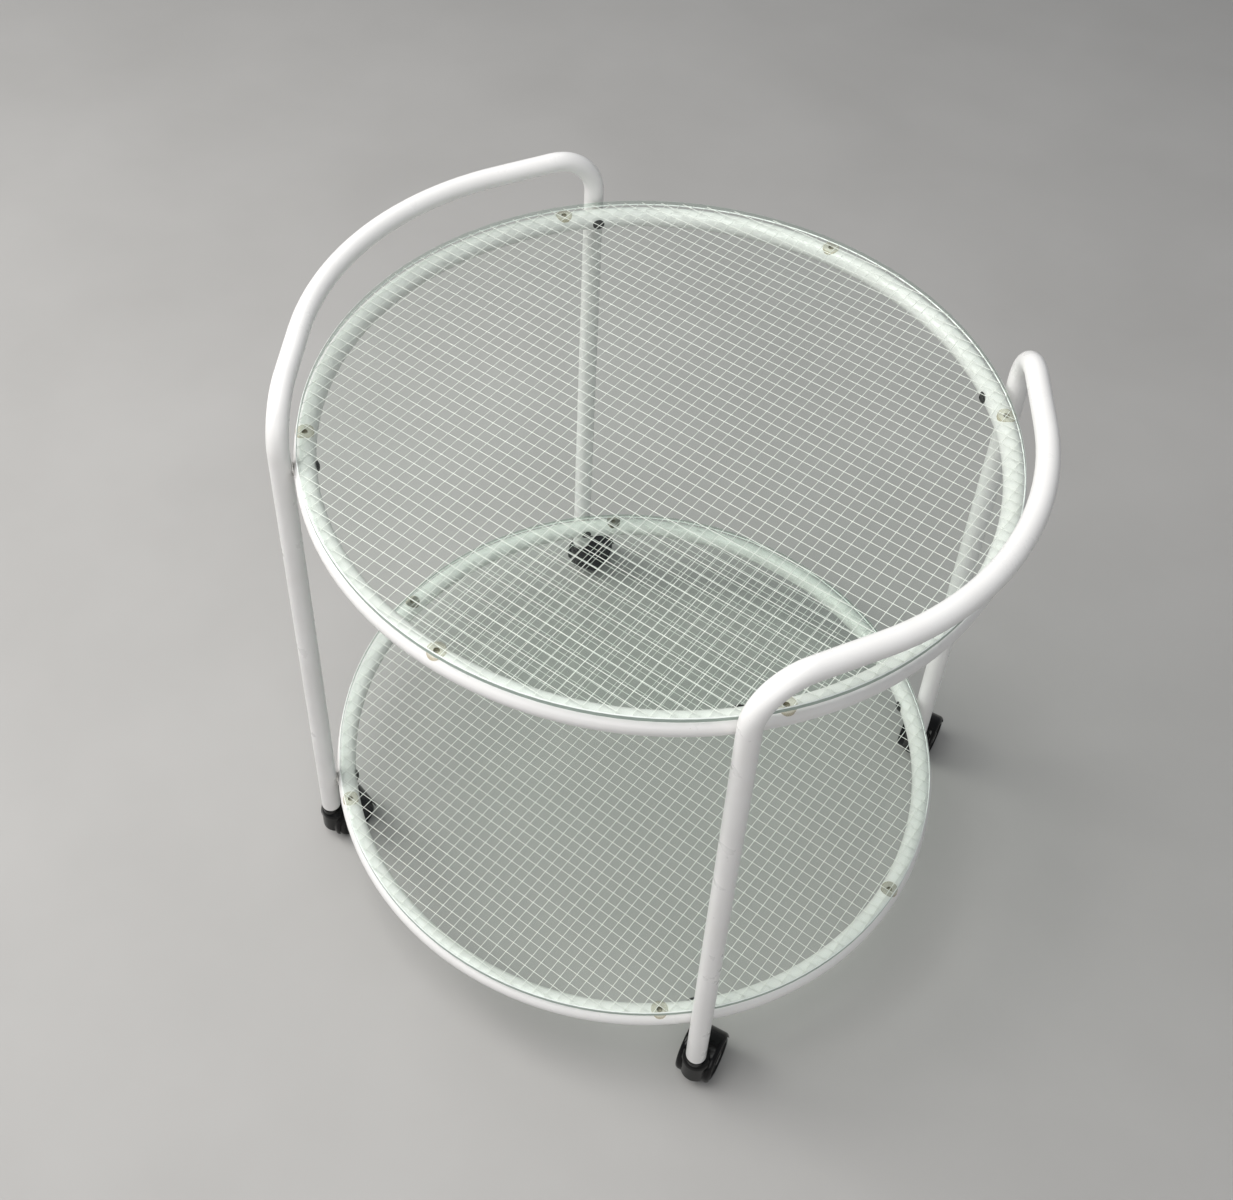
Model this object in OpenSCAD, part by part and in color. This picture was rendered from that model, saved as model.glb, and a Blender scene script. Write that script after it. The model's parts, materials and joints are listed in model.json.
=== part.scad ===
// Round two-tier serving trolley: two bent-tube side frames, two tube rings,
// two round wired-glass shelves resting on clear pads, and four hooded
// twin-wheel swivel casters. Millimetres, +Z up, floor at z = 0, the origin on
// the floor midway between the four legs, +X towards the right handle.

/* [Rings and shelves] */
// Radius of each ring's tube centreline
ring_r = 342.5; // [338:0.5:345]
// Outside diameter of every tube
tube_d = 22; // [20:0.5:23]
// Wall thickness of every tube
tube_wall = 1.5; // [1.2:0.1:2]
// Height of the upper ring's tube centre
upper_z = 635.5; // [560:0.5:650]
// Height of the lower ring's tube centre
lower_z = 112; // [105:1:180]
// Radius of each glass disc
glass_r = 350; // [346:0.5:352]
// Thickness of each glass disc
glass_t = 6; // [5:0.5:8]
// Underside of the glass above the ring's tube centre
glass_lift = 11.6; // [11.5:0.1:13]
// Angle of the outer pads to each side of a ring's middle pads
pad_spread = 51.4; // [48:0.2:54]
// Diameter of each pad's flange
pad_d = 18; // [14:0.5:20]

/* [Side frames] */
// Gap between a ring's tube and a leg's tube
leg_gap = 1; // [0.6:0.1:3]
// Height of the lower end of each leg tube
leg_end_z = 60; // [59:0.5:62]
// Height of the handle's tube centre
handle_z = 709; // [690:1:730]
// Radius of the handle's arc
handle_r = 308; // [300:1:312]
// Distance of the handle arc's centre from the middle
handle_off = 54; // [50:0.5:56]
// Centreline radius of the bend at the top of each leg
bend_r = 52; // [40:1:60]

/* [Fasteners] */
// Diameter of the screw shanks
screw_d = 6; // [5:0.5:6]
// Diameter of the screw heads
head_d = 13; // [10:0.5:14]
// Height of the screws' domed heads
head_h = 3; // [2.8:0.1:5.5]
// Diameter of the rivet nut bodies
nut_d = 9; // [8.5:0.1:9.2]

/* [Casters] */
// Wheel diameter
wheel_d = 50; // [48:0.5:50]
// Tread width of one wheel
wheel_w = 12; // [11:0.5:15]
// Distance of the axle behind the swivel axis
trail = 22; // [20:0.5:23]
// Inside radius of the hood over the wheels
hood_ri = 26.2; // [26:0.1:27]
// Outside radius of the hood over the wheels
hood_ro = 28.8; // [28.4:0.1:30]
// Half the width of the hood
hood_hw = 20.5; // [20:0.1:25]
// Radius of the hood's nose around the swivel
nose_r = 16; // [14:0.5:17]
// Direction in which the front left caster trails
head_fl = 76; // [0:1:360]
// Direction in which the front right caster trails
head_fr = 97; // [0:1:360]
// Direction in which the rear left caster trails
head_rl = 85; // [0:1:360]
// Direction in which the rear right caster trails
head_rr = 95; // [0:1:360]

/* [Hidden] */
$fn = 96;

tr = tube_d / 2;                       // outside radius of the tube
ti = tr - tube_wall;                   // inside radius of the tube
leg_r = ring_r + tube_d + leg_gap;     // distance of the leg axes from the middle
lx = leg_r * cos(45);                  // a leg axis in X, and in Y
leg_angles = [45, 135, 225, 315];
pad_angles = [0, pad_spread, 180 - pad_spread, 180, 180 + pad_spread, 360 - pad_spread];
screw_levels = [lower_z, upper_z];

// Handle path: a straight tangent to the arc from the top of each leg.
hd = norm([lx - handle_off, lx]);
tan_len = round(1000 * sqrt(hd * hd - handle_r * handle_r)) / 1000;
arc_half = atan2(lx, lx - handle_off) - atan2(tan_len, handle_r);
run_dir = arc_half - 90;               // plan direction of the run off the rear leg, mirrored for the front

dome_r = (head_d * head_d / 4 + head_h * head_h) / (2 * head_h);  // radius of the screw heads' dome
wz = wheel_d / 2;                      // height of the wheel axle
flange_z = leg_end_z - 1.2;            // underside of the socket's flange
collar_z = flange_z - 1.6;             // underside of the stem's collar
neck_z = collar_z - 0.4;               // top of the hood's neck
neck_r = 10.6;                         // outside radius of the hood's neck
nose_x = nose_r - 12;                  // middle of the nose, behind the swivel axis
hood_z = 18;                           // underside of the nose
web_hw = 6.6;                          // half thickness of the web between the wheels
wheel_y = 7.6;                         // inner face of a wheel from the middle of the caster
stem_r = 5.5;                          // stem inside the socket
pivot_r = 5;                           // stem inside the hood
axle_r = 4;                            // axle

WHITE = [0.91, 0.90, 0.88];
GLASS = [0.72, 0.84, 0.78, 0.35];
PAD = [0.86, 0.84, 0.70];
BLACK = [0.03, 0.03, 0.03];
STEEL = [0.62, 0.62, 0.60];

module tube_section() {
  difference() {
    circle(r = tr);
    circle(r = ti);
  }
}

module pipe(h) {
  linear_extrude(height = h) tube_section();
}

// Half a side frame, at +X +Y: the leg, its top bend, the straight run and half
// of the handle's arc, all in one frame so that each piece ends on the next.
module half_frame() {
  difference() {
    translate([lx, lx, 0]) rotate([0, 0, run_dir]) union() {
      translate([0, 0, leg_end_z]) pipe(handle_z - bend_r - leg_end_z);
      translate([bend_r, 0, handle_z - bend_r]) rotate([90, 0, 0]) rotate([0, 0, 90])
        rotate_extrude(angle = 90) translate([bend_r, 0]) tube_section();
      translate([bend_r, 0, handle_z]) rotate([0, 90, 0]) pipe(tan_len - bend_r);
      translate([tan_len, -handle_r, handle_z]) mirror([1, 0, 0]) rotate([0, 0, 90])
        rotate_extrude(angle = arc_half + 2) translate([handle_r, 0]) tube_section();
    }
    translate([-500, -1000, -1]) cube([1500, 1000, 1000]);
  }
}

module side_frame() {
  difference() {
    union() {
      half_frame();
      mirror([0, 1, 0]) half_frame();
    }
    // holes for the rivet nuts, through the wall that faces the rings
    for (a = [-45, 45], z = screw_levels)
      rotate([0, 0, a]) translate([leg_r - tr - 2, 0, z]) rotate([0, 90, 0])
        cylinder(r = nut_d / 2 + 0.1, h = tr);
  }
}

module right_side_frame() color(WHITE) side_frame();
module left_side_frame() color(WHITE) mirror([1, 0, 0]) side_frame();

// A ring bent from tube, drilled for its screws and for the stems of its pads.
module ring(z, turn) {
  difference() {
    translate([0, 0, z]) rotate_extrude() translate([ring_r, 0]) tube_section();
    for (a = leg_angles)
      rotate([0, 0, a]) translate([ring_r - tr - 3, 0, z]) rotate([0, 90, 0])
        cylinder(r = screw_d / 2 + 0.2, h = tube_d + 6);
    for (a = pad_angles)
      rotate([0, 0, a + turn]) translate([ring_r, 0, z]) cylinder(r = 3.1, h = tr + 3);
  }
}

module upper_ring() color(WHITE) ring(upper_z, 90);
module lower_ring() color(WHITE) ring(lower_z, 0);

// A disc of wired glass with ground edges.
module glass_disc(z) {
  c = 0.8;
  translate([0, 0, z + glass_lift]) rotate_extrude()
    polygon([[0, 0], [glass_r - c, 0], [glass_r, c], [glass_r, glass_t - c], [glass_r - c, glass_t], [0, glass_t]]);
}

module upper_glass() color(GLASS) glass_disc(upper_z);
module lower_glass() color(GLASS) glass_disc(lower_z);

// Clear pads: a flange shaped to the tube, a stem in the ring's hole and a dimple.
module pads(z, turn) {
  for (a = pad_angles)
    rotate([0, 0, a + turn]) difference() {
      union() {
        difference() {
          translate([ring_r, 0, z + 7]) cylinder(r = pad_d / 2, h = glass_lift - 7.05);
          translate([0, 0, z]) rotate([0, 0, -3])
            rotate_extrude(angle = 6) translate([ring_r, 0]) circle(r = tr + 0.03);
        }
        translate([ring_r, 0, z + 5]) cylinder(r = 3, h = glass_lift - 5.2);
      }
      translate([ring_r, 0, z + 7]) cylinder(r = 2.4, h = 8);
    }
}

module upper_pads() color(PAD) pads(upper_z, 90);
module lower_pads() color(PAD) pads(lower_z, 0);

// Dome-head screws, their heads on the inner side of the rings.
module ring_screws() color(BLACK)
  for (a = leg_angles, z = screw_levels)
    rotate([0, 0, a]) translate([ring_r - tr - 0.1, 0, z]) rotate([0, 90, 0]) difference() {
      union() {
        translate([0, 0, -1]) cylinder(r = screw_d / 2, h = tube_d + leg_gap + 13);
        intersection() {
          translate([0, 0, dome_r - head_h]) sphere(r = dome_r);
          translate([0, 0, -head_h - 1]) cylinder(r = head_d / 2 - 0.05, h = head_h + 1);
        }
      }
      translate([0, 0, -head_h - 0.5]) cylinder(r = 2.3, h = 3, $fn = 6);
    }

// Washers that fill the gap where a ring crosses a leg.
module spacer_washers() color(WHITE)
  for (a = leg_angles, z = screw_levels)
    rotate([0, 0, a]) translate([ring_r + tr + 0.03, 0, z]) rotate([0, 90, 0]) difference() {
      cylinder(r = 6.5, h = leg_gap - 0.06);
      translate([0, 0, -1]) cylinder(r = screw_d / 2 + 0.2, h = leg_gap + 2);
    }

// Rivet nuts in the legs, each with its bulge behind the tube wall.
module rivet_nuts() color(STEEL)
  for (a = leg_angles, z = screw_levels)
    rotate([0, 0, a]) translate([leg_r - tr + 0.1, 0, z]) rotate([0, 90, 0]) difference() {
      union() {
        cylinder(r = nut_d / 2, h = 12.5);
        translate([0, 0, 3.8]) cylinder(r = nut_d / 2 + 1, h = 2.2);
      }
      translate([0, 0, -1]) cylinder(r = screw_d / 2 + 0.05, h = 15);
    }

// Sleeves in the leg ends that hold the caster stems.
module caster_sockets() color(WHITE)
  for (a = leg_angles)
    rotate([0, 0, a]) translate([leg_r, 0, 0]) difference() {
      union() {
        translate([0, 0, flange_z]) cylinder(r = tr - 0.3, h = leg_end_z - flange_z);
        translate([0, 0, flange_z]) cylinder(r = ti - 0.05, h = 29);
      }
      translate([0, 0, flange_z - 1]) cylinder(r = stem_r + 0.05, h = 32);
    }

// Split spring rings in the grooves of the stems.
module grip_rings() color(STEEL)
  for (a = leg_angles)
    rotate([0, 0, a]) translate([leg_r, 0, leg_end_z + 17.2]) difference() {
      cylinder(r = stem_r + 0.02, h = 2.6);
      translate([0, 0, -1]) cylinder(r = stem_r - 0.65, h = 5);
      translate([3, -1, -1]) cube([5, 2, 5]);
    }

// ---- one caster, its swivel axis on the origin and trailing along +X ----

module caster_stem() {
  difference() {
    union() {
      translate([0, 0, 30]) cylinder(r = pivot_r, h = collar_z - 30 + 0.5);
      translate([0, 0, collar_z]) cylinder(r = 8, h = flange_z - collar_z);
      translate([0, 0, flange_z - 0.5]) cylinder(r = stem_r, h = 24);
      translate([0, 0, flange_z + 23.5]) cylinder(r1 = stem_r, r2 = stem_r - 1.2, h = 2);
    }
    translate([0, 0, leg_end_z + 17]) difference() {
      cylinder(r = stem_r + 1, h = 3);
      translate([0, 0, -1]) cylinder(r = stem_r - 0.7, h = 5);
    }
  }
}

// The drum's half section: rounded outer corners at the sides.
module drum_section() {
  q = 5;
  intersection() {
    union() {
      translate([0, -hood_hw + q]) square([hood_ro, 2 * (hood_hw - q)]);
      translate([0, -hood_hw]) square([hood_ro - q, 2 * hood_hw]);
      for (s = [-1, 1]) translate([hood_ro - q, s * (hood_hw - q)]) circle(r = q);
    }
    translate([0, -50]) square([100, 100]);
  }
}

module caster_hood() {
  difference() {
    union() {
      // the drum over the wheels, cut away below a line that rises to the rear
      intersection() {
        translate([trail, 0, wz]) rotate([90, 0, 0]) rotate_extrude() drum_section();
        translate([0, 40, 0]) rotate([90, 0, 0]) linear_extrude(height = 80)
          polygon([[-20, hood_z], [trail, 21], [60, 31], [60, 60], [-20, 60]]);
      }
      // the nose, its top rounded off below the end of the leg
      translate([nose_x, 0, 0]) rotate_extrude()
        polygon([[0, hood_z], [nose_r - 1.5, hood_z], [nose_r, hood_z + 1.5], [nose_r, 45], [nose_r - 0.7, 48.4],
                 [nose_r - 2.6, 51.4], [nose_r - 5.2, 53.4], [nose_r - 8, 54.2], [0, 54.2]]);
      // the neck under the leg's end
      translate([0, 0, 40]) cylinder(r = neck_r, h = neck_z - 41);
      translate([0, 0, neck_z - 1]) cylinder(r1 = neck_r, r2 = neck_r - 1, h = 1);
      // the web between the wheels
      translate([trail, web_hw, wz]) rotate([90, 0, 0]) cylinder(r = 19, h = 2 * web_hw);
    }
    for (s = [0, 1]) mirror([0, s, 0])
      translate([trail, 50, wz]) rotate([90, 0, 0]) cylinder(r = hood_ri, h = 50 - web_hw);
    translate([0, 0, 29]) cylinder(r = pivot_r + 0.05, h = 40);
    translate([trail, 20, wz]) rotate([90, 0, 0]) cylinder(r = axle_r, h = 40);
  }
}

module caster_axle() {
  translate([trail, hood_hw - 3, wz]) rotate([90, 0, 0]) cylinder(r = axle_r - 0.02, h = 2 * (hood_hw - 3));
}

// A wheel with a rounded tread and a dished outer face, on the +Y side.
module caster_wheel() {
  w = wheel_w;
  r = wheel_d / 2;
  b = axle_r + 0.05;
  translate([trail, wheel_y, wz]) rotate([-90, 0, 0]) rotate_extrude()
    polygon([[b, 0], [r - 1.6, 0], [r - 0.5, 0.5], [r, 1.6], [r, w - 2.6], [r - 0.8, w - 0.9], [r - 2.6, w],
             [r - 5, w], [r - 6.4, w - 1.6], [8.4, w - 2.6], [8.4, w - 4], [b, w - 4]]);
}

// The cap snapped over the end of the axle, turning with its wheel.
module caster_cap() {
  w = wheel_w;
  difference() {
    translate([trail, wheel_y + w - 4, wz]) rotate([-90, 0, 0]) rotate_extrude()
      polygon([[0, 0], [8.3, 0], [8.3, 2.2], [6.6, 3.6], [0, 4]]);
    translate([trail, 0, wz]) rotate([-90, 0, 0]) cylinder(r = axle_r + 0.05, h = hood_hw - 2.6);
  }
}

module at_leg(a, heading) {
  rotate([0, 0, a]) translate([leg_r, 0, 0]) rotate([0, 0, heading - a]) children();
}

module front_left_stem() color(STEEL) at_leg(225, head_fl) caster_stem();
module front_left_hood() color(BLACK) at_leg(225, head_fl) caster_hood();
module front_left_axle() color(STEEL) at_leg(225, head_fl) caster_axle();
module front_left_wheel_a() color(BLACK) at_leg(225, head_fl) caster_wheel();
module front_left_wheel_b() color(BLACK) at_leg(225, head_fl) mirror([0, 1, 0]) caster_wheel();
module front_left_cap_a() color(BLACK) at_leg(225, head_fl) caster_cap();
module front_left_cap_b() color(BLACK) at_leg(225, head_fl) mirror([0, 1, 0]) caster_cap();

module front_right_stem() color(STEEL) at_leg(315, head_fr) caster_stem();
module front_right_hood() color(BLACK) at_leg(315, head_fr) caster_hood();
module front_right_axle() color(STEEL) at_leg(315, head_fr) caster_axle();
module front_right_wheel_a() color(BLACK) at_leg(315, head_fr) caster_wheel();
module front_right_wheel_b() color(BLACK) at_leg(315, head_fr) mirror([0, 1, 0]) caster_wheel();
module front_right_cap_a() color(BLACK) at_leg(315, head_fr) caster_cap();
module front_right_cap_b() color(BLACK) at_leg(315, head_fr) mirror([0, 1, 0]) caster_cap();

module rear_left_stem() color(STEEL) at_leg(135, head_rl) caster_stem();
module rear_left_hood() color(BLACK) at_leg(135, head_rl) caster_hood();
module rear_left_axle() color(STEEL) at_leg(135, head_rl) caster_axle();
module rear_left_wheel_a() color(BLACK) at_leg(135, head_rl) caster_wheel();
module rear_left_wheel_b() color(BLACK) at_leg(135, head_rl) mirror([0, 1, 0]) caster_wheel();
module rear_left_cap_a() color(BLACK) at_leg(135, head_rl) caster_cap();
module rear_left_cap_b() color(BLACK) at_leg(135, head_rl) mirror([0, 1, 0]) caster_cap();

module rear_right_stem() color(STEEL) at_leg(45, head_rr) caster_stem();
module rear_right_hood() color(BLACK) at_leg(45, head_rr) caster_hood();
module rear_right_axle() color(STEEL) at_leg(45, head_rr) caster_axle();
module rear_right_wheel_a() color(BLACK) at_leg(45, head_rr) caster_wheel();
module rear_right_wheel_b() color(BLACK) at_leg(45, head_rr) mirror([0, 1, 0]) caster_wheel();
module rear_right_cap_a() color(BLACK) at_leg(45, head_rr) caster_cap();
module rear_right_cap_b() color(BLACK) at_leg(45, head_rr) mirror([0, 1, 0]) caster_cap();

left_side_frame();
right_side_frame();
upper_ring();
lower_ring();
upper_glass();
lower_glass();
upper_pads();
lower_pads();
ring_screws();
spacer_washers();
rivet_nuts();
caster_sockets();
grip_rings();
front_left_stem();
front_left_hood();
front_left_axle();
front_left_wheel_a();
front_left_wheel_b();
front_left_cap_a();
front_left_cap_b();
front_right_stem();
front_right_hood();
front_right_axle();
front_right_wheel_a();
front_right_wheel_b();
front_right_cap_a();
front_right_cap_b();
rear_left_stem();
rear_left_hood();
rear_left_axle();
rear_left_wheel_a();
rear_left_wheel_b();
rear_left_cap_a();
rear_left_cap_b();
rear_right_stem();
rear_right_hood();
rear_right_axle();
rear_right_wheel_a();
rear_right_wheel_b();
rear_right_cap_a();
rear_right_cap_b();
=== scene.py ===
import json
import math
import random

import bpy
from mathutils import Matrix, Vector


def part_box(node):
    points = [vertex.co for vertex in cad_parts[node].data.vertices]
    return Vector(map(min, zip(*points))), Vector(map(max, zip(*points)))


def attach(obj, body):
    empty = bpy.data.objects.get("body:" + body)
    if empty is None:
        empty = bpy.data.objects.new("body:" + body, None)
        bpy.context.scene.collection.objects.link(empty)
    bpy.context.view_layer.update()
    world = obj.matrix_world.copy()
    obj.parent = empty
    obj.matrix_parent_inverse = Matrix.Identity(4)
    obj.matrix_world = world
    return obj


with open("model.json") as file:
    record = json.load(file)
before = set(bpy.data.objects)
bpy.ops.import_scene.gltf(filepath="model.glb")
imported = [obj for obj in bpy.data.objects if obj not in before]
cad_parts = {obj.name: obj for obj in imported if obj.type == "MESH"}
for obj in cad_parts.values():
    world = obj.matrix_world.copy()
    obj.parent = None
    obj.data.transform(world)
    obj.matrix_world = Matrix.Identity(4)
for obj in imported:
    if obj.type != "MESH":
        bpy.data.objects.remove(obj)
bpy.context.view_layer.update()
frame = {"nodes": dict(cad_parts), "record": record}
NODES = frame["nodes"]
scene = bpy.context.scene


# ---------------------------------------------------------------- materials

class Mat:
    """A small helper round one node material."""

    def __init__(self, name):
        self.m = bpy.data.materials.new(name)
        self.m.use_nodes = True
        self.nt = self.m.node_tree
        self.nt.nodes.clear()
        self.out = self.nt.nodes.new("ShaderNodeOutputMaterial")
        self.geo = self.nt.nodes.new("ShaderNodeTexCoord")

    def node(self, kind, **props):
        n = self.nt.nodes.new(kind)
        for k, v in props.items():
            setattr(n, k, v)
        return n

    def link(self, a, b):
        self.nt.links.new(a, b)

    def principled(self, **values):
        n = self.node("ShaderNodeBsdfPrincipled")
        for k, v in values.items():
            n.inputs[k.replace("_", " ")].default_value = v
        return n

    def noise(self, scale, detail=4.0, rough=0.55, dist=0.0, stretch=None, seed=0.0):
        n = self.node("ShaderNodeTexNoise", noise_dimensions="3D")
        n.inputs["Scale"].default_value = scale
        n.inputs["Detail"].default_value = detail
        n.inputs["Roughness"].default_value = rough
        n.inputs["Distortion"].default_value = dist
        mp = self.node("ShaderNodeMapping")
        mp.inputs["Location"].default_value = (seed, seed * 0.7, seed * 1.3)
        if stretch:
            mp.inputs["Scale"].default_value = stretch
        self.link(self.geo.outputs["Object"], mp.inputs["Vector"])
        self.link(mp.outputs["Vector"], n.inputs["Vector"])
        return n.outputs["Fac"]

    def ramp(self, fac, stops):
        r = self.node("ShaderNodeValToRGB")
        while len(r.color_ramp.elements) > 1:
            r.color_ramp.elements.remove(r.color_ramp.elements[-1])
        first = True
        for pos, col in stops:
            if not hasattr(col, "__len__"):
                col = (col, col, col)
            e = r.color_ramp.elements[0] if first else r.color_ramp.elements.new(pos)
            first = False
            e.position = pos
            e.color = (col[0], col[1], col[2], 1.0)
        self.link(fac, r.inputs["Fac"])
        return r.outputs["Color"]

    def mix(self, fac, a, b, kind="MIX"):
        n = self.node("ShaderNodeMix", data_type="RGBA", blend_type=kind)
        if hasattr(fac, "is_linked") or hasattr(fac, "node"):
            self.link(fac, n.inputs[0])
        else:
            n.inputs[0].default_value = fac
        for sock, v in ((n.inputs[6], a), (n.inputs[7], b)):
            if hasattr(v, "node"):
                self.link(v, sock)
            else:
                sock.default_value = (v[0], v[1], v[2], 1.0)
        return n.outputs[2]

    def math(self, op, a, b=None):
        n = self.node("ShaderNodeMath", operation=op)
        for sock, v in ((n.inputs[0], a), (n.inputs[1], b)):
            if v is None:
                continue
            if hasattr(v, "node"):
                self.link(v, sock)
            else:
                sock.default_value = v
        return n.outputs[0]

    def bump(self, height, strength, distance):
        n = self.node("ShaderNodeBump")
        n.inputs["Strength"].default_value = strength
        n.inputs["Distance"].default_value = distance
        self.link(height, n.inputs["Height"])
        return n.outputs["Normal"]

    def surface(self, shader):
        self.link(shader.outputs[0], self.out.inputs["Surface"])
        return self.m


def enamel():
    t = Mat("white_enamel")
    p = t.principled(IOR=1.5, Coat_Weight=0.25, Coat_Roughness=0.12)
    cloud = t.noise(9.0, 3.0, seed=1.0)
    fine = t.noise(160.0, 5.0, seed=2.0)
    base = t.ramp(cloud, [(0.25, (0.755, 0.744, 0.730)), (0.75, (0.812, 0.804, 0.793))])
    # faint dull patches where hands and trays have rubbed, and a few tiny specks
    rub = t.ramp(t.noise(26.0, 3.0, 0.5, seed=3.0), [(0.55, 0.0), (0.85, 0.45)])
    base = t.mix(rub, base, (0.740, 0.722, 0.698))
    specks = t.ramp(t.noise(520.0, 1.0, seed=4.0), [(0.80, 0.0), (0.84, 0.6)])
    base = t.mix(specks, base, (0.50, 0.46, 0.40))
    t.link(base, p.inputs["Base Color"])
    rough = t.ramp(t.noise(30.0, 5.0, 0.6, seed=5.0), [(0.3, 0.24), (0.7, 0.40)])
    t.link(rough, p.inputs["Roughness"])
    # orange peel of brushed-out enamel
    peel = t.noise(520.0, 2.0, 0.4, seed=6.0)
    low = t.noise(60.0, 2.0, 0.4, seed=7.0)
    h = t.mix(0.35, peel, low)
    t.link(t.bump(h, 0.18, 0.0006), p.inputs["Normal"])
    return t.surface(p)


def wired_glass():
    t = Mat("wired_glass")
    g = t.node("ShaderNodeNewGeometry")
    sep = t.node("ShaderNodeSeparateXYZ")
    t.link(g.outputs["True Normal"], sep.inputs["Vector"])
    flat = t.math("ABSOLUTE", sep.outputs["Z"])
    is_face = t.math("GREATER_THAN", flat, 0.9)
    # the faces: clear, faintly green and slightly wavy
    clear = t.node("ShaderNodeBsdfTransparent")
    tint = t.ramp(t.noise(5.0, 2.0, seed=11.0), [(0.3, (0.958, 0.980, 0.965)), (0.7, (0.972, 0.989, 0.976))])
    t.link(tint, clear.inputs["Color"])
    gloss = t.node("ShaderNodeBsdfGlossy")
    smear = t.ramp(t.noise(14.0, 5.0, 0.6, seed=12.0), [(0.35, 0.035), (0.75, 0.11)])
    t.link(smear, gloss.inputs["Roughness"])
    wavy = t.mix(0.3, t.noise(22.0, 2.0, seed=13.0), t.noise(90.0, 2.0, seed=14.0))
    nrm = t.bump(wavy, 0.10, 0.0006)
    t.link(nrm, gloss.inputs["Normal"])
    fres = t.node("ShaderNodeFresnel")
    fres.inputs["IOR"].default_value = 1.45
    outside = t.math("SUBTRACT", 1.0, g.outputs["Backfacing"])
    face = t.node("ShaderNodeMixShader")
    t.link(t.math("MULTIPLY", fres.outputs[0], outside), face.inputs[0])
    t.link(clear.outputs[0], face.inputs[1])
    t.link(gloss.outputs[0], face.inputs[2])
    # the ground edge: grey-green; its upper arris is painted light as a highlight and its lower arris painted darker as
    # shade
    edge = t.principled(Roughness=0.30, IOR=1.5)
    streak = t.noise(140.0, 4.0, 0.6, stretch=(1.0, 1.0, 6.0), seed=15.0)
    side = t.ramp(streak, [(0.3, (0.330, 0.400, 0.355)), (0.75, (0.430, 0.510, 0.460))])
    arris_highlight_paint = t.ramp(streak, [(0.3, (0.760, 0.810, 0.775)), (0.75, (0.860, 0.900, 0.870))])
    underside_shade_paint = t.ramp(streak, [(0.3, (0.270, 0.330, 0.295)), (0.75, (0.360, 0.420, 0.385))])
    arris = t.math("GREATER_THAN", flat, 0.3)
    underside_shade_mask = t.math("MULTIPLY", t.math("LESS_THAN", sep.outputs["Z"], -0.3), t.math("SUBTRACT", 1.0, g.outputs["Backfacing"]))
    col = t.mix(arris, side, arris_highlight_paint)
    col = t.mix(underside_shade_mask, col, underside_shade_paint)
    t.link(col, edge.inputs["Base Color"])
    # seen from inside the sheet the upright edge is nearly clear; its arrises there take the painted highlight colour
    inner = t.node("ShaderNodeBsdfTransparent")
    t.link(t.ramp(streak, [(0.3, (0.780, 0.860, 0.815)), (0.75, (0.880, 0.930, 0.900))]), inner.inputs["Color"])
    rim = t.node("ShaderNodeMixShader")
    t.link(t.math("MULTIPLY", g.outputs["Backfacing"], t.math("SUBTRACT", 1.0, arris)), rim.inputs[0])
    t.link(edge.outputs[0], rim.inputs[1])
    t.link(inner.outputs[0], rim.inputs[2])
    both = t.node("ShaderNodeMixShader")
    t.link(is_face, both.inputs[0])
    t.link(rim.outputs[0], both.inputs[1])
    t.link(face.outputs[0], both.inputs[2])
    return t.surface(both)


def wire_metal():
    t = Mat("wire_metal")
    p = t.principled(Metallic=0.0, IOR=1.5)
    n = t.noise(300.0, 3.0, seed=21.0)
    t.link(t.ramp(n, [(0.3, (0.74, 0.755, 0.71)), (0.7, (0.84, 0.855, 0.81))]), p.inputs["Base Color"])
    t.link(t.ramp(t.noise(120.0, 3.0, seed=22.0), [(0.3, 0.35), (0.7, 0.55)]), p.inputs["Roughness"])
    return t.surface(p)


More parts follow.
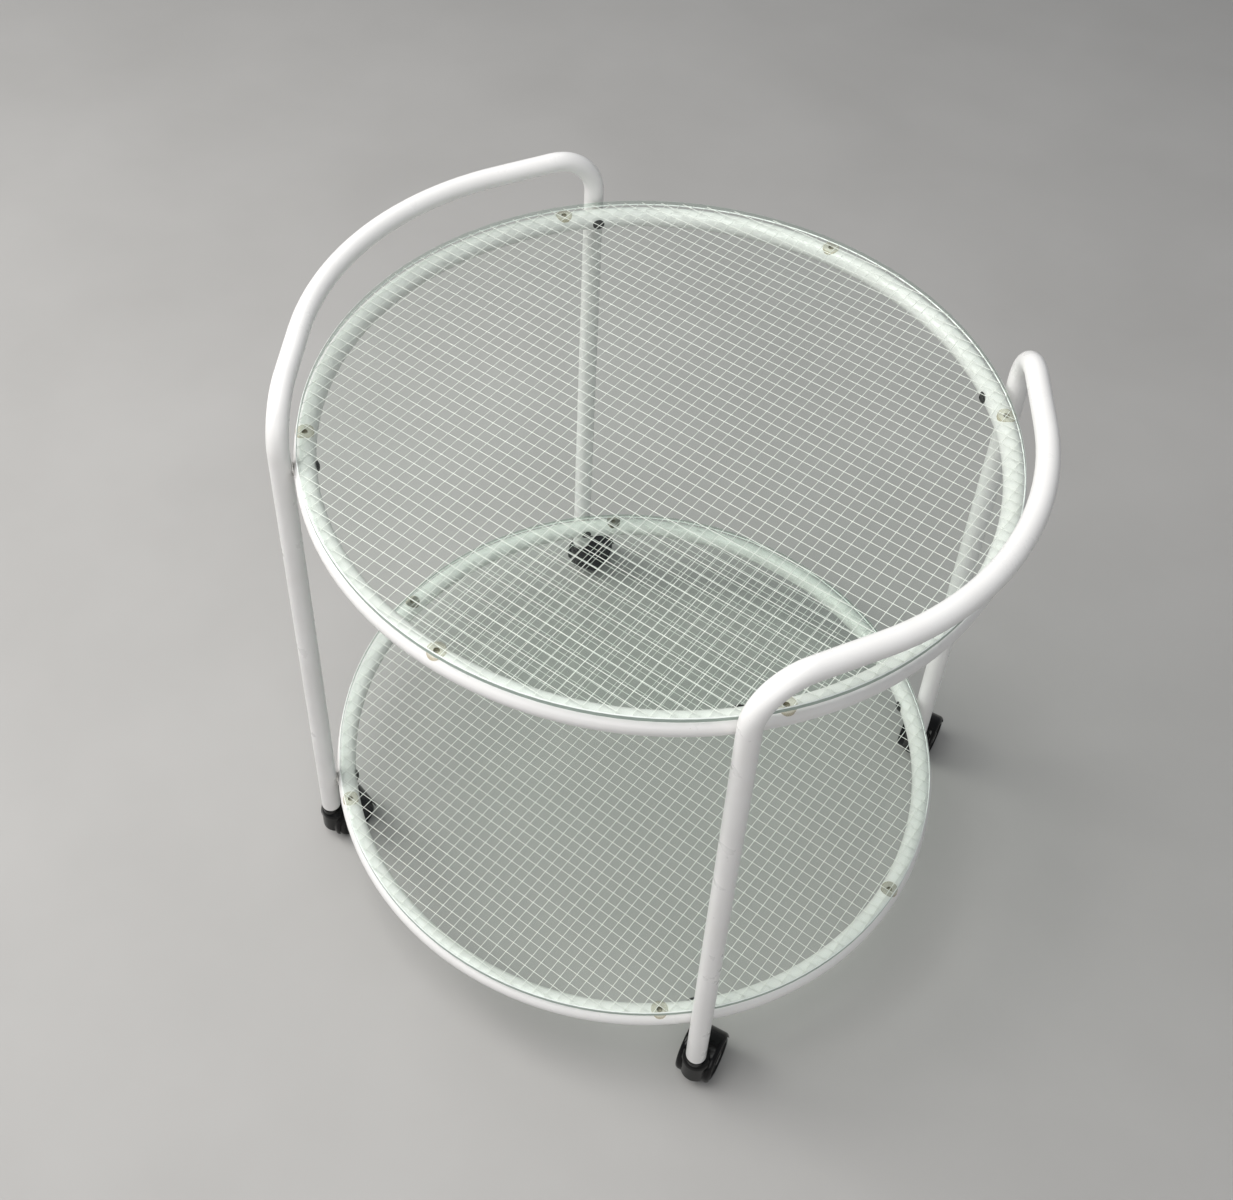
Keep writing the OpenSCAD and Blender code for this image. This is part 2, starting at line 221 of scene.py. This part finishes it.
def clear_pad():
    t = Mat("clear_pad")
    g = t.node("ShaderNodeNewGeometry")
    sep = t.node("ShaderNodeSeparateXYZ")
    t.link(g.outputs["True Normal"], sep.inputs["Vector"])
    is_wall = t.math("LESS_THAN", t.math("ABSOLUTE", sep.outputs["Z"]), 0.5)
    # the stems stand in holes in the tube and hide them a little; the stem core is given a darker tone, painted shade
    # for the shaded holes
    at = t.node("ShaderNodeSeparateXYZ")
    t.link(t.geo.outputs["Object"], at.inputs["Vector"])
    rho = t.math("SQRT", t.math("ADD", t.math("MULTIPLY", at.outputs["X"], at.outputs["X"]),
                                t.math("MULTIPLY", at.outputs["Y"], at.outputs["Y"])))
    lo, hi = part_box("upper_ring")
    ring_r = hi.x - (hi.z - lo.z) / 2
    near = t.math("LESS_THAN", t.math("ABSOLUTE", t.math("SUBTRACT", rho, ring_r)), 0.0032)
    low = None
    for node in ("upper_pads", "lower_pads"):
        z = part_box(node)[0].z + 0.00225
        one = t.math("LESS_THAN", t.math("ABSOLUTE", t.math("SUBTRACT", at.outputs["Z"], z)), 0.00240)
        low = one if low is None else t.math("MAXIMUM", low, one)
    stem = t.math("MULTIPLY", near, low)
    n = t.noise(140.0, 4.0, seed=31.0)
    clear = t.node("ShaderNodeBsdfTransparent")
    top = t.ramp(n, [(0.3, (0.970, 0.962, 0.930)), (0.7, (0.990, 0.986, 0.965))])
    # the side walls let less through and are coloured darker than the top face: painted shade on the pad's sides
    wall_shade_tint = t.ramp(n, [(0.3, (0.800, 0.770, 0.690)), (0.7, (0.890, 0.865, 0.800))])
    t.link(t.mix(is_wall, top, wall_shade_tint), clear.inputs["Color"])
    p = t.principled(IOR=1.46)
    flat = t.ramp(n, [(0.3, (0.820, 0.795, 0.720)), (0.7, (0.870, 0.850, 0.790))])
    # rim: the darker wall colour, painted shade
    rim = t.ramp(n, [(0.3, (0.400, 0.360, 0.260)), (0.7, (0.520, 0.480, 0.370))])
    # painted shade: darker stem core standing for the shaded hole beneath
    stem_hole_shade = t.ramp(n, [(0.3, (0.520, 0.490, 0.400)), (0.7, (0.620, 0.590, 0.500))])
    t.link(t.mix(stem, t.mix(is_wall, flat, rim), stem_hole_shade), p.inputs["Base Color"])
    t.link(t.ramp(t.noise(260.0, 3.0, seed=32.0), [(0.3, 0.12), (0.7, 0.34)]), p.inputs["Roughness"])
    t.link(t.bump(t.noise(380.0, 2.0, seed=33.0), 0.15, 0.0004), p.inputs["Normal"])
    mix = t.node("ShaderNodeMixShader")
    body = t.ramp(n, [(0.3, 0.10), (0.7, 0.17)])
    t.link(t.mix(stem, body, (0.72, 0.72, 0.72)), mix.inputs[0])
    t.link(clear.outputs[0], mix.inputs[1])
    t.link(p.outputs[0], mix.inputs[2])
    return t.surface(mix)


def black_plastic(name, lo, hi, r0, r1, dust, seed):
    t = Mat(name)
    p = t.principled(IOR=1.42, Specular_IOR_Level=0.3)
    base = t.ramp(t.noise(60.0, 4.0, seed=seed), [(0.3, lo), (0.7, hi)])
    grit = t.ramp(t.noise(230.0, 6.0, 0.7, seed=seed + 1), [(0.60, 0.0), (0.78, dust)])
    base = t.mix(grit, base, (0.105, 0.098, 0.086))
    t.link(base, p.inputs["Base Color"])
    t.link(t.ramp(t.noise(75.0, 5.0, 0.65, seed=seed + 2), [(0.3, r0), (0.7, r1)]), p.inputs["Roughness"])
    t.link(t.bump(t.noise(600.0, 3.0, seed=seed + 3), 0.12, 0.0004), p.inputs["Normal"])
    return t.surface(p)


def steel(name, lo, hi, seed):
    t = Mat(name)
    p = t.principled(Metallic=1.0)
    t.link(t.ramp(t.noise(90.0, 4.0, seed=seed), [(0.3, lo), (0.7, hi)]), p.inputs["Base Color"])
    t.link(t.ramp(t.noise(180.0, 4.0, seed=seed + 1, stretch=(1.0, 1.0, 5.0)), [(0.3, 0.22), (0.7, 0.42)]), p.inputs["Roughness"])
    t.link(t.bump(t.noise(700.0, 2.0, seed=seed + 2, stretch=(1.0, 1.0, 4.0)), 0.10, 0.0003), p.inputs["Normal"])
    return t.surface(p)


def white_plastic():
    t = Mat("white_plastic")
    p = t.principled(IOR=1.48)
    t.link(t.ramp(t.noise(80.0, 4.0, seed=51.0), [(0.3, (0.60, 0.585, 0.55)), (0.7, (0.70, 0.685, 0.65))]), p.inputs["Base Color"])
    t.link(t.ramp(t.noise(160.0, 3.0, seed=52.0), [(0.3, 0.38), (0.7, 0.55)]), p.inputs["Roughness"])
    t.link(t.bump(t.noise(500.0, 2.0, seed=53.0), 0.12, 0.0003), p.inputs["Normal"])
    return t.surface(p)


MATS = {
    "white_enamel": enamel(),
    "wired_glass": wired_glass(),
    "clear_pad": clear_pad(),
    "black_steel": black_plastic("black_steel", (0.030, 0.030, 0.029), (0.056, 0.055, 0.053), 0.30, 0.48, 0.16, 61.0),
    "white_plastic": white_plastic(),
    "bright_steel": steel("bright_steel", (0.50, 0.50, 0.49), (0.66, 0.66, 0.64), 71.0),
    "black_hood": black_plastic("black_hood", (0.0015, 0.0014, 0.0015), (0.004, 0.0038, 0.0038), 0.11, 0.24, 0.10, 81.0),
    "black_wheel": black_plastic("black_wheel", (0.004, 0.004, 0.004), (0.009, 0.0087, 0.0083), 0.36, 0.54, 0.26, 91.0),
}
WIRE = wire_metal()

for sub in frame["record"]["subparts"]:
    ob = NODES[sub["node"]]
    mat = MATS[sub["material_slot"]]
    if not ob.material_slots:
        ob.data.materials.append(mat)
    for s in ob.material_slots:
        s.material = mat


# ---------------------------------------------------------------- wire mesh

def tube_mesh(name, paths, radius, sides=6):
    verts, faces = [], []
    for pts in paths:
        base = len(verts)
        n = len(pts)
        along = (pts[-1] - pts[0]).normalized()
        side = along.cross(Vector((0, 0, 1))).normalized()
        up = side.cross(along)
        for p in pts:
            for k in range(sides):
                a = 2 * math.pi * k / sides
                verts.append(p + radius * (math.cos(a) * side + math.sin(a) * up))
        for i in range(n - 1):
            for k in range(sides):
                a, b = base + i * sides + k, base + i * sides + (k + 1) % sides
                faces.append((a, b, b + sides, a + sides))
        faces.append([base + k for k in range(sides)][::-1])
        faces.append([base + (n - 1) * sides + k for k in range(sides)])
    me = bpy.data.meshes.new(name)
    me.from_pydata([tuple(v) for v in verts], [], faces)
    me.update()
    for f in me.polygons:
        f.use_smooth = len(f.vertices) == 4
    ob = bpy.data.objects.new(name, me)
    scene.collection.objects.link(ob)
    return ob


def wire_net(name, node, seed, turn):
    """The square welded mesh inside one disc: two layers of fine wire, slightly wavy."""
    lo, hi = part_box(node)
    rnd = random.Random(seed)
    pitch, radius = 0.0126, 0.00035
    reach = (hi.x - lo.x) / 2 - 0.0012
    mid = (lo.z + hi.z) / 2
    half = int(reach / pitch)
    off = (rnd.uniform(-0.3, 0.3) * pitch, rnd.uniform(-0.3, 0.3) * pitch)
    ct, st = math.cos(math.radians(turn)), math.sin(math.radians(turn))
    paths = []
    for axis in (0, 1):
        for k in range(-half - 1, half + 2):
            c = k * pitch + off[axis] + rnd.uniform(-0.00018, 0.00018)
            if abs(c) > reach - 0.002:
                continue
            length = math.sqrt(reach * reach - c * c)
            ph1, ph2 = rnd.uniform(0, 6.28), rnd.uniform(0, 6.28)
            a1, a2 = rnd.uniform(0.00008, 0.00022), rnd.uniform(0.00003, 0.00009)
            n = max(3, int(2 * length / 0.010))
            pts = []
            for i in range(n + 1):
                s = -length + 2 * length * i / n
                w = c + a1 * math.sin(s / 0.085 + ph1) + a2 * math.sin(s / 0.021 + ph2)
                # wires of one direction lie a little above the mid-plane, those of the other a little below
                z = mid + (0.00036 if axis == 0 else -0.00036)
                px, py = (s, w) if axis == 0 else (w, s)
                pts.append(Vector((px * ct - py * st, px * st + py * ct, z)))
            paths.append(pts)
    ob = tube_mesh(name, paths, radius)
    ob.data.materials.append(WIRE)
    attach(ob, "trolley")
    return ob


wire_net("upper_wire_net", "upper_glass", 11, -0.95)
wire_net("lower_wire_net", "lower_glass", 23, -1.35)


# ---------------------------------------------------------------- stage

def floor():
    s = 6.0
    me = bpy.data.meshes.new("floor")
    me.from_pydata([(-s, -s, 0), (s, -s, 0), (s, s, 0), (-s, s, 0)], [], [(0, 1, 2, 3)])
    ob = bpy.data.objects.new("floor", me)
    scene.collection.objects.link(ob)
    t = Mat("floor_paint")
    p = t.principled(Roughness=0.75)
    t.link(t.ramp(t.noise(3.0, 4.0, seed=101.0), [(0.3, (0.365, 0.357, 0.347)), (0.7, (0.395, 0.387, 0.377))]), p.inputs["Base Color"])
    ob.data.materials.append(t.surface(p))


floor()


def area(name, loc, target, size, energy, color):
    d = bpy.data.lights.new(name, "AREA")
    d.shape = "DISK"
    d.size = size
    d.energy = energy
    d.color = color
    ob = bpy.data.objects.new(name, d)
    ob.location = loc
    ob.rotation_euler = (Vector(target) - Vector(loc)).to_track_quat("-Z", "Y").to_euler()
    scene.collection.objects.link(ob)


area("sky_panel", (-0.75, -1.15, 3.5), (0, 0, 0.3), 2.8, 103.0, (1.0, 0.988, 0.975))
area("key_panel", (-2.5, -1.0, 2.3), (0, 0, 0.4), 1.6, 54.0, (1.0, 0.98, 0.95))
area("fill_panel", (1.9, -2.6, 1.5), (0, 0, 0.4), 2.0, 16.0, (1.0, 0.97, 0.95))

world = bpy.data.worlds.new("studio")
scene.world = world
world.use_nodes = True
bg = world.node_tree.nodes["Background"]
bg.inputs["Color"].default_value = (0.86, 0.90, 0.94, 1.0)
bg.inputs["Strength"].default_value = 0.36
scene.view_settings.view_transform = "Standard"

# ---------------------------------------------------------------- camera

AZ, EL, ROLL = 0.6173898, 0.7730190, 0.0172062
fw = Vector((-math.sin(AZ) * math.cos(EL), math.cos(AZ) * math.cos(EL), -math.sin(EL)))
rt = Vector((math.cos(AZ), math.sin(AZ), 0.0))
up = rt.cross(fw)
cx = math.cos(ROLL) * rt + math.sin(ROLL) * up
cy = -math.sin(ROLL) * rt + math.cos(ROLL) * up
at = Vector((0.570120, -0.979457, 1.757865))
cam_data = bpy.data.cameras.new("photo_view")
cam_data.sensor_fit = "HORIZONTAL"
cam_data.sensor_width = 36.0
cam_data.lens = 1629.146 * 36.0 / 1233.0
cam_data.shift_x = (616.5 - 553.786) / 1233.0
cam_data.shift_y = (413.915 - 600.0) / 1233.0
cam_data.clip_start = 0.05
cam_data.clip_end = 50.0
cam = bpy.data.objects.new("photo_view", cam_data)
cam.matrix_world = Matrix(((cx.x, cy.x, -fw.x, at.x), (cx.y, cy.y, -fw.y, at.y), (cx.z, cy.z, -fw.z, at.z), (0, 0, 0, 1)))
scene.collection.objects.link(cam)
scene.camera = cam
